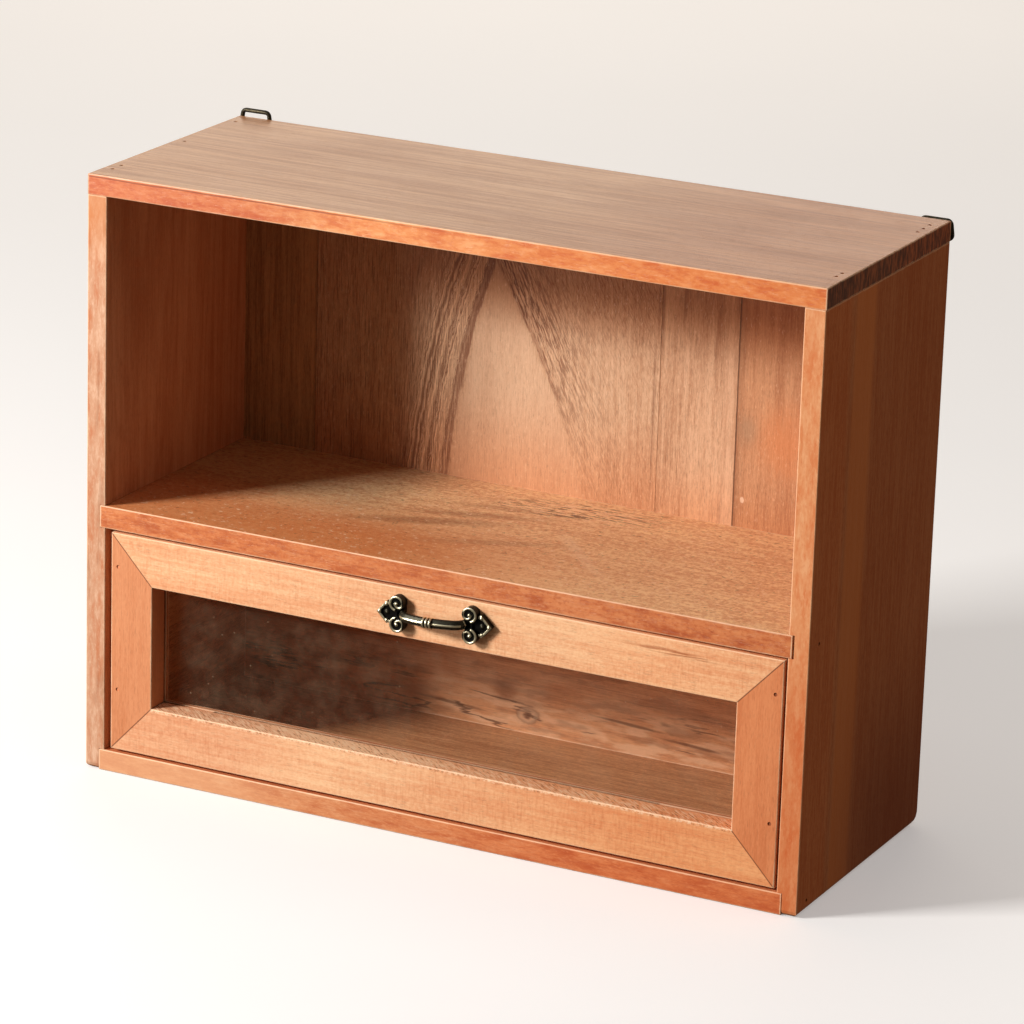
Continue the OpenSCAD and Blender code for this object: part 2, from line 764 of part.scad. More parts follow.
// The closed wire ring for s = -1 (left) or 1 (right): a bar and a bend for each corner
module ring(s) {
    color(bronze) at_pivot(s) rotate([90, 0, 0])
        for (i = [0:3])
            translate(ring_corner(i)) rotate(heading(i)) {
                bar_l = norm(ring_corner(i + 1) - ring_corner(i)) - reach(i) - reach(i + 1);
                translate([reach(i), 0, 0]) rotate([0, 90, 0]) cylinder(r = wire_r, h = bar_l);
                translate([reach(i), ring_bend_r, 0]) rotate(-90 - turn(i))
                    rotate_extrude(angle = turn(i)) translate([ring_bend_r, 0]) circle(wire_r - bend_thin);
            }
}

// ---------- the assembly ----------

left_side();
right_side();
top_panel();
middle_shelf();
bottom_board();
back_board(0);  // back_board_1
back_board(1);  // back_board_2
back_board(2);  // back_board_3
back_board(3);  // back_board_4
top_brads();
end_brads();
back_brads();
drawer_top_rail();
drawer_bottom_rail();
drawer_stile(-1);  // drawer_left_stile
drawer_stile(1);  // drawer_right_stile
glass_pane();
level_bead(window_top_z);  // bead_top
level_bead(window_z - rebate_w);  // bead_bottom
upright_bead(-window_w / 2 - rebate_w);  // bead_left
upright_bead(window_w / 2);  // bead_right
drawer_side(-1);  // drawer_left_side
drawer_side(1);  // drawer_right_side
drawer_back();
drawer_bottom();
front_brads();
drawer_back_brads();
panel_pins();
handle();
handle_pins();
hanger(-1);  // left_hanger
hanger(1);  // right_hanger
ring(-1);  // left_ring
ring(1);  // right_ring
hanger_screws();
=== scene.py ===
"""A small stained-wood cabinet with an open shelf and a glass-fronted drawer, in soft studio light.

The cabinet's frame has +X to the right of someone who faces the drawer, +Y to the back and +Z up.
Lengths on the cabinet are millimetres, and become metres through MM or Field.span(). Lengths in the
studio round it are metres. Angles are degrees.
"""
import math
import zlib

import bpy
from mathutils import Matrix, Vector


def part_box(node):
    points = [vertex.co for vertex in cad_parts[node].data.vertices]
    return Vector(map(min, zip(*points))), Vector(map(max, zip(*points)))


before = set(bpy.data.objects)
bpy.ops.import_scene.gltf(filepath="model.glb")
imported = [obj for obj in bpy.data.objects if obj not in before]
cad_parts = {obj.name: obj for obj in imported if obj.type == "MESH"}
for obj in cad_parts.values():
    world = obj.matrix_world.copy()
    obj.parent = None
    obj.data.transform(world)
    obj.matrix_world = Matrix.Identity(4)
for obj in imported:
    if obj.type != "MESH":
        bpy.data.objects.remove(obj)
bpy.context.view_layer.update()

MM = 0.001


# ---------- camera ----------

# Fitted to the cabinet's corners in the photograph
CAMERA_PLACE = (1.07427, -2.15620, 0.91703)
CAMERA_AZIMUTH = 26.4175
CAMERA_ELEVATION = 17.6352
CAMERA_ROLL = 1.7599
CAMERA_LENS = 177.07
CAMERA_SENSOR = 36.0
CAMERA_CLIP = (0.1, 100)


def direction(azimuth, elevation):
    """The unit vector towards an azimuth, 0 in front and 90 at the right, and an elevation."""
    a, e = math.radians(azimuth), math.radians(elevation)
    return Vector((math.sin(a) * math.cos(e), -math.cos(a) * math.cos(e), math.sin(e)))


def make_camera():
    """A long lens at the photograph's viewing angle, rolled a little as the photograph is."""
    back = direction(CAMERA_AZIMUTH, CAMERA_ELEVATION)
    level = Vector((0, 0, 1)).cross(back).normalized()
    upright = back.cross(level)
    roll = math.radians(CAMERA_ROLL)
    right = level * math.cos(roll) + upright * math.sin(roll)
    up = upright * math.cos(roll) - level * math.sin(roll)
    turn = Matrix((right, up, back)).transposed().to_4x4()
    data = bpy.data.cameras.new("camera")
    data.lens = CAMERA_LENS
    data.sensor_width = CAMERA_SENSOR
    data.clip_start, data.clip_end = CAMERA_CLIP
    camera = bpy.data.objects.new("camera", data)
    camera.matrix_world = Matrix.Translation(CAMERA_PLACE) @ turn
    bpy.context.collection.objects.link(camera)
    bpy.context.scene.camera = camera


# ---------- light and floor ----------

AIM = Vector((0, 0, 0.15))     # the cabinet's middle, which every light faces
KEY_COLOUR = (1.0, 0.96, 0.90)
SOFTBOX_COLOUR = (1.0, 0.86, 0.70)
AMBER = (1.0, 0.80, 0.62)      # of the fill light and the world
WORLD_STRENGTH = 0.13
FLOOR_HALF = 15                # half the floor's side
FLOOR_DROP = 0.0001            # how far the floor lies under the cabinet
FLOOR_TONES = (0.78, 0.79, 0.81), (0.82, 0.83, 0.85)
FLOOR_GLOW, FLOOR_GLOW_COLOUR = 0.28, (0.97, 0.98, 1.0)


def area_light(name, size, power, azimuth, elevation, distance, colour=(1, 1, 1)):
    """A rectangular light that faces the cabinet's middle and isn't seen itself."""
    data = bpy.data.lights.new(name, "AREA")
    data.shape = "RECTANGLE"
    data.size, data.size_y = size
    data.energy = power
    data.color = colour
    towards = direction(azimuth, elevation)
    light = bpy.data.objects.new(name, data)
    light.location = AIM + towards * distance
    light.rotation_euler = towards.to_track_quat("Z", "Y").to_euler()
    light.visible_camera = False
    bpy.context.collection.objects.link(light)


def make_lights():
    """A key at the front left and a weak one low under it, a softbox behind for the sheen on the
    top, a warm fill at the right and a broad light overhead."""
    area_light("key", (0.45, 0.29), power=46, azimuth=-45.4, elevation=22.2, distance=1.954,
               colour=KEY_COLOUR)
    area_light("low", (0.45, 0.3), power=5.2, azimuth=-44, elevation=2, distance=1.6,
               colour=KEY_COLOUR)
    area_light("softbox", (2.0, 0.9), power=13, azimuth=-152, elevation=18, distance=2.6,
               colour=SOFTBOX_COLOUR)
    area_light("fill", (1.2, 0.8), power=3.1, azimuth=100, elevation=32, distance=1.6,
               colour=AMBER)
    area_light("overhead", (2.4, 2.4), power=14, azimuth=0, elevation=90, distance=3.0)


def make_world():
    """A weak warm light from everywhere, and colours that go to the screen without a film curve."""
    world = bpy.data.worlds.new("studio")
    world.use_nodes = True
    background = world.node_tree.nodes["Background"]
    background.inputs["Color"].default_value = (*AMBER, 1)
    background.inputs["Strength"].default_value = WORLD_STRENGTH
    bpy.context.scene.world = world
    bpy.context.scene.view_settings.view_transform = "Standard"


def make_floor():
    """A pale floor. It throws no light back and isn't mirrored, so that shadows stay deep."""
    mesh = bpy.data.meshes.new("floor")
    h = FLOOR_HALF
    mesh.from_pydata([(-h, -h, 0), (h, -h, 0), (h, h, 0), (-h, h, 0)], [], [(0, 1, 2, 3)])
    floor = bpy.data.objects.new("floor", mesh)
    floor.location.z = -FLOOR_DROP
    floor.visible_diffuse = floor.visible_glossy = False
    bpy.context.collection.objects.link(floor)
    g = Graph("floor")
    g.surface(g.mix(*FLOOR_TONES, g.even_noise(3, detail=3)), roughness=0.75,
              Emission_Color=FLOOR_GLOW_COLOUR, Emission_Strength=FLOOR_GLOW)
    mesh.materials.append(g.material)


# ---------- material graphs ----------

# Among a Mix node's sockets: its factor, its two colours and its result
MIX_FACTOR, MIX_A, MIX_B, MIX_RESULT = 0, 6, 7, 2


def srgb(red, green, blue):
    """A colour given in screen values from 0 to 255, as linear light."""
    def linear(value):
        v = value / 255
        return v / 12.92 if v <= 0.04045 else ((v + 0.055) / 1.055) ** 2.4
    return tuple(linear(v) for v in (red, green, blue))


class Field:
    """A number that varies over a surface. Arithmetic on fields adds the nodes that compute it."""

    def __init__(self, graph, socket):
        self.graph, self.socket = graph, socket

    def __add__(self, other):
        return self.graph.math("ADD", self, other)

    def __sub__(self, other):
        return self.graph.math("SUBTRACT", self, other)

    def __rsub__(self, other):
        return self.graph.math("SUBTRACT", other, self)

    def __mul__(self, other):
        return self.graph.math("MULTIPLY", self, other)

    def __truediv__(self, other):
        return self.graph.math("DIVIDE", self, other)

    def abs(self):
        return self.graph.math("ABSOLUTE", self)

    def sqrt(self):
        return self.graph.math("SQRT", self)

    def sin(self):
        return self.graph.math("SINE", self)

    def power(self, exponent):
        return self.graph.math("POWER", self, exponent)

    def least(self, other):
        return self.graph.math("MINIMUM", self, other)

    def most(self, other):
        return self.graph.math("MAXIMUM", self, other)

    def rise(self, low, high):
        """0 below low, 1 above high and smooth between them; it falls where low is above high."""
        if low > high:
            return 1 - self.rise(high, low)
        node = self.graph.add("ShaderNodeMapRange", interpolation_type="SMOOTHSTEP")
        node.inputs["From Min"].default_value = low
        node.inputs["From Max"].default_value = high
        self.graph.put(node.inputs["Value"], self)
        return Field(self.graph, node.outputs["Result"])

    def span(self, low, high):
        """The same for a place or a distance, between two lengths in millimetres."""
        return self.rise(low * MM, high * MM)


class Graph:
    """One material's nodes. Its methods add nodes and return what they put out."""

    def __init__(self, name):
        self.material = bpy.data.materials.new(name)
        self.material.use_nodes = True
        self.tree = self.material.node_tree
        self.tree.nodes.clear()
        self.object = self.add("ShaderNodeTexCoord").outputs["Object"]
        split = self.add("ShaderNodeSeparateXYZ")
        self.put(split.inputs[0], self.object)
        self.places = self.x, self.y, self.z = [Field(self, s) for s in split.outputs]

    def add(self, kind, **settings):
        node = self.tree.nodes.new(kind)
        for name, value in settings.items():
            setattr(node, name, value)
        return node

    def put(self, socket, value):
        """Links a field or socket, or sets a plain value."""
        if isinstance(value, Field):
            value = value.socket
        if isinstance(value, bpy.types.NodeSocket):
            self.tree.links.new(value, socket)
        elif socket.type == "RGBA":
            socket.default_value = (*value, 1)
        else:
            socket.default_value = value

    def put_all(self, sockets, values):
        for socket, value in zip(sockets, values):
            self.put(socket, value)

    def math(self, operation, *values):
        node = self.add("ShaderNodeMath", operation=operation)
        self.put_all(node.inputs, values)
        return Field(self, node.outputs[0])

    def place(self, scale, shift=(0, 0, 0), at=None):
        """A place, by default the surface's own, scaled and shifted."""
        node = self.add("ShaderNodeMapping")
        self.put(node.inputs["Vector"], at or self.object)
        node.inputs["Scale"].default_value = scale
        node.inputs["Location"].default_value = shift
        return node.outputs[0]

    def turned(self, angle):
        """The surface's place, turned in the XZ plane."""
        node = self.add("ShaderNodeMapping")
        self.put(node.inputs["Vector"], self.object)
        node.inputs["Rotation"].default_value = (0, math.radians(angle), 0)
        return node.outputs[0]

    def skewed(self, slope):
        """The surface's place, moved along X in step with Y."""
        node = self.add("ShaderNodeCombineXYZ")
        self.put_all(node.inputs, (self.x + self.y * slope, self.y, self.z))
        return node.outputs[0]

    def noise(self, at, detail=2, roughness=0.5):
        """Smooth noise round 0.5, with lumps about 1 unit wide at a place or along a field."""
        along = isinstance(at, Field)
        node = self.add("ShaderNodeTexNoise", noise_dimensions="1D" if along else "3D")
        self.put(node.inputs["W" if along else "Vector"], at)
        node.inputs["Scale"].default_value = 1
        node.inputs["Detail"].default_value = detail
        node.inputs["Roughness"].default_value = roughness
        return Field(self, node.outputs["Fac"])

    def even_noise(self, lumps, detail, roughness=0.5):
        """Noise that is the same in every direction, with so many lumps to the metre."""
        return self.noise(self.place((lumps, lumps, lumps)), detail, roughness)

    def cells(self, lumps):
        """The distance from the nearest of scattered points, with so many cells to the metre."""
        node = self.add("ShaderNodeTexVoronoi")
        self.put(node.inputs["Vector"], self.place((lumps, lumps, lumps)))
        node.inputs["Scale"].default_value = 1
        return Field(self, node.outputs["Distance"])

    def mix(self, a, b, factor, blend="MIX"):
        node = self.add("ShaderNodeMix", data_type="RGBA", blend_type=blend)
        self.put(node.inputs[MIX_FACTOR], factor)
        self.put(node.inputs[MIX_A], a)
        self.put(node.inputs[MIX_B], b)
        return node.outputs[MIX_RESULT]

    def bump(self, height, depth, strength, normal=None):
        """A normal from a height field whose 1 stands depth metres high."""
        node = self.add("ShaderNodeBump")
        self.put(node.inputs["Height"], height)
        node.inputs["Distance"].default_value = depth
        node.inputs["Strength"].default_value = strength
        if normal is not None:
            self.put(node.inputs["Normal"], normal)
        return node.outputs[0]

    def principled(self, colour, roughness, normal=None, **constants):
        """The Principled shader. Constants are named as its sockets, with _ for a space."""
        shader = self.add("ShaderNodeBsdfPrincipled")
        self.put(shader.inputs["Base Color"], colour)
        self.put(shader.inputs["Roughness"], roughness)
        if normal is not None:
            self.put(shader.inputs["Normal"], normal)
        for name, value in constants.items():
            self.put(shader.inputs[name.replace("_", " ")], value)
        return shader

    def output(self, shader):
        self.put(self.add("ShaderNodeOutputMaterial").inputs["Surface"], shader.outputs[0])

    def surface(self, colour, roughness, normal=None, **constants):
        self.output(self.principled(colour, roughness, normal, **constants))


def assign(node, material):
    """Gives a CAD node one material in all its slots."""
    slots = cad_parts[node].data.materials
    if not slots:
        slots.append(material)
    for i in range(len(slots)):
        slots[i] = material


# ---------- wood ----------

# Places on the cabinet
FRONT = -75.5                  # Y of the carcass's and the drawer's front
END = 200                      # X of the right end; the left one is at -END
BACK = 64.8                    # Y of the back boards' inner faces
SHELF = 142                    # Z of the shelf's upper face

CREAM = srgb(252, 214, 178)    # bare wood: worn arrises and raised fibres
SOOT = srgb(58, 26, 12)        # pores and joints
SIDE_PALE, SIDE_DARK = srgb(217, 161, 124), srgb(175, 109, 72)

# Noise keeps near 0.5, and these gains spread it over the board's range of shades
FIGURE_GAIN, FUZZ_GAIN, TONE_GAIN = 2.4, 1.8, 0.8
SLANT = 0.06                   # how far the growth rings drift sideways along a board
WEAR, FRONT_WEAR = 0.75, 0.55  # how far the arrises are worn, and those of stained fronts
WEAR_WIDTH = 0.8
LAYER_STEP = 11.7              # how far apart the layers of noise on one board are


class Wood:
    """One board's wood.

    The figure lies between the colours pale and dark, and rings, streaks, fibres and fuzz say how
    much each part of it counts. ring is the width of a growth ring, and pith says where the tree's
    heart is from the board's middle. fibre and grit are the length and width of a fibre and of the
    fine fuzz on it.
    """

    def __init__(self, node, grain, pale, dark, rings=0.12, streaks=0.35, fibres=0.4, fuzz=0.4,
                 ring=3.2, pith=(30, 12), fibre=(16, 0.45), grit=(2.4, 0.7), roughness=0.5,
                 specular=0.35):
        self.node, self.g = node, Graph(node)
        self.low, self.high = (Vector(corner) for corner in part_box(node))
        self.middle = (self.low + self.high) / 2
        self.shift = self.own_shift()
        self.grain = "XYZ".index(grain)
        self.grit, self.roughness, self.specular, self.worn = grit, roughness, specular, WEAR
        band = self.growth(ring, pith)
        self.streak = self.stretched(80, 2.8, 10, detail=3, roughness=0.6)
        self.fibre = self.stretched(*fibre, 1, detail=3, roughness=0.6)
        self.fuzz = self.stretched(*grit, 4, detail=3, roughness=0.65)
        self.tone = self.stretched(130, 30, 3)
        shade = ((band - 0.5) * rings
                 + (self.streak - 0.5) * (FIGURE_GAIN * streaks)
                 + (self.fibre - 0.5) * (FIGURE_GAIN * fibres)
                 + (self.fuzz - 0.5) * (FUZZ_GAIN * fuzz)
                 + (self.tone - 0.5) * TONE_GAIN + 0.5)
        self.colour = self.g.mix(pale, dark, shade.rise(0.0, 1.0))
        self.pore = self.stretched(5, 0.3, 2, detail=1).rise(0.60, 0.72)
        self.mark(SOOT, self.pore * 0.22)
        self.height = self.fibre * 0.5 + self.fuzz * 0.5 - self.pore * 0.6

    def own_shift(self):
        """A shift of the board's own for its noise, from its name, so that no two boards match."""
        seed = zlib.crc32(self.node.encode())
        return [(seed >> bits & 255) / 8 + 3 for bits in (0, 8, 16)]

    def growth(self, ring, pith):
        """The growth rings where the board cuts them, from 0 in early wood to 1 in late wood."""
        along = self.g.places[self.grain] - self.middle[self.grain]
        u, v = (self.g.places[i] - self.middle[i] for i in range(3) if i != self.grain)
        bent = ((self.stretched(70, 10) - 0.5) * (2.4 * ring * MM)
                + (self.stretched(12, 3, 7) - 0.5) * (0.7 * ring * MM))
        depth = ((u - pith[0] * MM + along * SLANT).power(2)
                 + (v - pith[1] * MM).power(2)).sqrt() + bent
        return self.g.noise(depth / (ring * MM)).rise(0.33, 0.68)

    def stretched(self, length, width, layer=0, detail=2, roughness=0.5, at=None):
        """Noise whose lumps are length long with the grain and width across it. Each layer number
        gives other noise."""
        scale = [1 / (width * MM)] * 3
        scale[self.grain] = 1 / (length * MM)
        shift = [s + LAYER_STEP * layer for s in self.shift]
        return self.g.noise(self.g.place(scale, shift, at), detail, roughness)

    def mark(self, colour, amount):
        """Mixes a colour over the board by an amount that may vary."""
        self.colour = self.g.mix(self.colour, colour, amount)

    def shade(self, colour, amount):
        """Multiplies the board's colour."""
        self.colour = self.g.mix(self.colour, colour, amount, "MULTIPLY")

    def edge(self):
        """Distance from a point on the board's faces to the nearest arris."""
        a, b, c = [(place - low).least(high - place)
                   for place, low, high in zip(self.g.places, self.low, self.high)]
        return a.least(b).most(a.most(b).least(c))

    def wear(self):
        """Pale, patchy wear along the arrises."""
        patch = self.stretched(14, 5, 5, detail=5, roughness=0.7)
        reach = self.edge() - (patch - 0.5) * (1.8 * WEAR_WIDTH * MM)
        self.mark(CREAM, reach.span(WEAR_WIDTH, 0.2 * WEAR_WIDTH) * self.worn)

    def stain_front(self, colour, deep, pale, amount=0.85):
        """The stained front edge of a carcass board: felt-like, with deeper and paler patches.
        Returns 1 on the cabinet's front and 0 elsewhere."""
        front = self.g.y.span(FRONT + 0.7, FRONT + 0.2)
        patch = self.stretched(24, 6, 12, detail=4, roughness=0.6)
        small = self.stretched(9, 2.5, 18, detail=4, roughness=0.65)
        self.mark(colour, front * amount)
        for tint, field, low, high, share in (
                (deep, patch, 0.50, 0.68, 0.65), (pale, patch, 0.47, 0.32, 0.50),
                (deep, small, 0.50, 0.66, 0.45), (pale, small, 0.47, 0.34, 0.35),
                (deep, self.fuzz, 0.54, 0.70, 0.35), (pale, self.fuzz, 0.46, 0.30, 0.35)):
            self.mark(tint, front * field.rise(low, high) * share)
        arris = self.edge() + (self.fibre - 0.5) * (0.5 * MM)
        self.mark(CREAM, front * arris.span(0.75, 0.35) * 0.4)
        self.worn = FRONT_WEAR
        return front

    def flecks(self, pale, deep):
        """Short pale and dark dashes where fibres stand up."""
        length, width = self.grit
        fleck = self.stretched(length * 1.3, width * 1.3, 13, roughness=0.6)
        self.mark(CREAM, fleck.rise(0.60, 0.72) * pale)
        self.mark(SOOT, fleck.rise(0.38, 0.28) * deep)

    def cracks(self, colour, length, width, amount):
        """Thin wavy lines that follow the grain."""
        level = (self.stretched(length, width, 21, detail=4) - 0.5).abs()
        self.mark(colour, level.rise(0.030, 0.0072) * amount)

    def knot(self, centre, size, colour, amount):
        """A knot on an upright board: rings round a dark heart, with a pale ring among them."""
        u, v = ((place - c * MM) / (r * MM)
                for place, c, r in zip((self.g.x, self.g.z), centre, size))
        ragged = (self.stretched(6, 3, 22, detail=3) - 0.5) * 0.7
        away = (u * u + v * v).sqrt() + ragged
        rings = (away * 11).sin() * 0.5 + 0.5
        self.mark(colour, away.rise(1.25, 0.75) * (rings * 0.5 + 0.25) * amount)
        self.mark(colour, away.rise(0.4, 0.15) * amount)
        self.mark(CREAM, (away - 0.62).abs().rise(0.2, 0.05) * (0.3 * amount))

    def blob(self, centre, size, tilt=0, soft=1.0):
        """1 inside a ragged ellipse in the board's widest plane and 0 well outside it."""
        thin = min(range(3), key=lambda i: (self.high - self.low)[i])
        i, j = (k for k in range(3) if k != thin)
        du, dv = self.g.places[i] - centre[0] * MM, self.g.places[j] - centre[1] * MM
        c, s = math.cos(math.radians(tilt)), math.sin(math.radians(tilt))
        u, v = (du * c + dv * s) / (size[0] * MM), (dv * c - du * s) / (size[1] * MM)
        ragged = (self.stretched(9, 3, 6, detail=4, roughness=0.65) - 0.5) * 1.1
        return ((u * u + v * v).sqrt() + ragged).rise(1 + soft / 2, 1 - soft / 2)

    def finish(self, depth=0.10):
        """Adds wear, gloss and a relief depth deep, and gives the board the result."""
        if self.worn:
            self.wear()
        gloss = (self.tone - 0.5) * 0.10 + (self.fibre - 0.5) * 0.12 + self.roughness
        normal = self.g.bump(self.height, depth * MM, 0.6)
        self.g.surface(self.colour, gloss, normal, Specular_IOR_Level=self.specular)
        assign(self.node, self.g.material)


def dress_left_side():
    side = Wood("left_side", "Z", SIDE_PALE, SIDE_DARK, streaks=0.25, fibres=0.3, fuzz=0.25,
                pith=(60, -40), specular=0.15)
    front = side.stain_front(srgb(210, 160, 130), srgb(196, 118, 78), srgb(238, 200, 172))
    brown = side.stretched(30, 4, 19, detail=4).rise(0.56, 0.68)
    side.mark(srgb(150, 96, 66), front * brown * 0.35)
    side.mark(srgb(214, 136, 84), front * side.g.z.span(255, 300) * 0.6)
    side.finish()


def dress_right_side():
    """Its outer face has a redder strip, a lighter stripe, then brown that is partly the wood's and
    partly painted shade, and painted shade darkens it downwards and towards the back.
    """
    side = Wood("right_side", "Z", SIDE_PALE, SIDE_DARK, streaks=0.4, fibres=0.6, fuzz=0.7,
                fibre=(24, 1.2), grit=(3, 1.2), pith=(60, -40), specular=0.15)
    g = side.g
    front = side.stain_front(srgb(242, 162, 110), srgb(222, 122, 70), srgb(250, 190, 142))
    side.mark(srgb(194, 92, 48), front * g.z.span(150, 90) * 0.3)
    side.shade((1.0, 0.88, 0.80), front * g.z.span(150, 90))
    outer = g.x.span(END - 0.6, END - 0.2)
    across = g.y + (side.stretched(160, 14, 14) - 0.5) * (5 * MM)
    # The outer face's dark brown: partly the wood's own colour, partly painted shade
    side.mark(srgb(170, 86, 38), outer * 0.66)
    side.mark(srgb(120, 62, 30), outer * side.pore * 0.35)
    # Less blue on the outer face, part of its painted shade
    side.shade((1.0, 0.99, 0.82), outer)
    side.shade((1.1, 0.98, 0.84), outer * across.span(-40, -47))
    side.mark(srgb(200, 116, 58), outer * across.span(-41, -36) * across.span(-12, -18) * 0.7)
    side.shade((0.90, 0.80, 0.70), outer * across.span(-18, -10))
    # Painted shade, darker towards the bottom and the back
    side.shade(srgb(190, 170, 160), outer * g.z.span(130, 10) * g.y.span(-60, 20) * 0.8)
    side.worn = 0.3
    side.finish()


TOP_LINE = 312.6               # Z of a dark line under the front arris of the top


def dress_top():
    """Its upper face has a satin sheen, its front is redder at the left with a dark line under the
    arris, and its end grain has taken more stain."""
    satin = 0.36
    top = Wood("top_panel", "X", srgb(193, 140, 101), srgb(157, 101, 66), rings=0.15, streaks=0.5,
               pith=(50, 60), fibres=0.6, fibre=(40, 0.8), fuzz=0.2, grit=(3, 2), specular=0.6)
    g = top.g
    front = top.stain_front(srgb(234, 150, 94), srgb(204, 100, 54), srgb(244, 184, 138))
    top.shade((0.84, 0.61, 0.54), front * g.x.span(-60, -130))
    top.shade((1.10, 1.05, 0.94), front * g.x.span(-90, -30))
    line = (g.z - TOP_LINE * MM + (top.stretched(30, 8, 15) - 0.5) * (0.8 * MM)).abs()
    top.mark(srgb(140, 62, 32), front * line.span(0.5, 0.1) * g.x.span(50, -100) * 0.8)
    top.shade((1.0, 0.96, 0.87), 1 - front)
    top.shade((0.86, 0.58, 0.30), g.x.span(0, 140) * (1 - front))
    top.shade((0.98, 0.83, 0.72), g.x.span(-20, 120) * front)
    ends = g.x.abs().span(END - 0.6, END - 0.2)
    hatch = g.noise(g.place((900, 700, 130), top.shift), detail=4, roughness=0.65)
    end_grain = g.mix(srgb(74, 36, 18), srgb(156, 86, 48), hatch.rise(0.38, 0.66))
    top.mark(end_grain, ends * 0.95)
    top.shade((1.35, 1.15, 0.95), ends * g.y.span(-20, 50))
    top.roughness = ends * 0.4 + satin
    top.finish()


# The shelf's slanting stains: middle, half length and half width, tilt and strength
SHELF_STAINS = (((-40, -10), (34, 5), 22, 0.5), ((-22, 12), (30, 4), 18, 0.45),
                ((-12, 30), (26, 3.5), 12, 0.35), ((6, -24), (30, 4), 24, 0.3))


def dress_shelf():
    """Its upper face is redder at the left, with slanting stains, torn grain and flecks, and
    painted shade deepens the shadow at its left rear.
    """
    shelf = Wood("middle_shelf", "X", srgb(255, 212, 160), srgb(218, 152, 108), streaks=0.3,
                 pith=(20, 40), fibres=0.4, fuzz=1.3, fibre=(14, 1.0), grit=(2.2, 1.8),
                 roughness=0.42, specular=0.5)
    g = shelf.g
    shelf.mark(srgb(218, 122, 62), g.y.span(30, -60) * g.x.span(140, -60) * 0.75)
    for middle, size, tilt, amount in SHELF_STAINS:
        shelf.mark(srgb(132, 66, 36), shelf.blob(middle, size, tilt, soft=1.6) * amount)
    torn = shelf.blob((18, 42), (40, 13), tilt=8)
    stroke = shelf.stretched(11, 1.8, 20, detail=4, roughness=0.65)
    shelf.mark(srgb(86, 42, 24), torn * stroke.rise(0.52, 0.60) * 0.85)
    shelf.mark(CREAM, torn * stroke.rise(0.46, 0.38) * 0.7)
    shelf.mark(CREAM, shelf.blob((52, -20), (3, 34), tilt=42, soft=1.6) * 0.25)
    shelf.flecks(0.7, 0.4)
    # Painted shade: deepens the left side's shadow over the shelf's left rear
    shelf.shade((0.74, 0.82, 0.86), g.x.span(-50, -90) * g.y.span(-30, 10))
    front = shelf.stain_front(srgb(212, 120, 69), srgb(176, 80, 38), srgb(232, 158, 108))
    shelf.shade((1.0, 0.90, 0.82), front * g.x.span(0, 150))
    shelf.finish(0.2)


def dress_bottom():
    bottom = Wood("bottom_board", "X", srgb(231, 150, 100), srgb(194, 106, 64), pith=(-40, 30),
                  fuzz=0.5)
    g = bottom.g
    front = bottom.stain_front(srgb(222, 146, 98), srgb(194, 100, 56), srgb(240, 178, 132), 0.6)
    bottom.shade((1.0, 0.68, 0.52), front * g.x.span(-80, 120))
    bottom.mark(srgb(240, 184, 142), front * g.x.span(-50, -150) * 0.5)
    bottom.finish()


# The pale cathedral figure of the second back board: its apex in X and Z, how it drifts to the
# right on the way down, how its flanks spread, and how fast it closes above its apex
APEX = (-42, 260)
APEX_DRIFT = 0.13
FLANK_SPREAD, FLANK_CURVE = 2.0, 250
APEX_CLOSING = 0.3
CATHEDRAL_SEAM = 49            # X of a brown seam near the board's right edge
WOOLLY_TILT = 24               # how far the torn grain at the figure's right leans
TOP_SHADOW_TINT = (0.78, 0.62, 0.48)  # painted shadow of the top panel over the back boards' upper ends


def inside(g):
    """1 on the back boards' inner faces and 0 on their outer ones."""
    return g.y.span(BACK + 1.2, BACK + 0.4)


def shelf_shade_zone(g, top):
    """1 at the foot of a back board's inner face, over the shelf, and 0 from top upwards: where
    shade over the shelf is painted.
    """
    return inside(g) * g.z.span(top, SHELF)


def top_shadow_zone(g):
    """1 at the upper end of a back board's inner face, where the top panel's shadow is painted."""
    return inside(g) * g.z.span(222, 252)


def joint(wood, x, amount=0.6):
    """A dark line beside an upright joint at x, which is in metres."""
    wood.mark(SOOT, (wood.g.x - x).abs().span(0.9, 0.3) * amount)


def flank_distance(g):
    """How far a point is outside the cathedral figure's flanks, and how far right of its middle."""
    below = APEX[1] * MM - g.z
    aside = g.x - APEX[0] * MM - below * APEX_DRIFT
    half = below.most(0) / ((below.most(0) / (FLANK_CURVE * MM) + 1) * FLANK_SPREAD)
    return aside.abs() - half + (0 - below).most(0) * APEX_CLOSING, aside


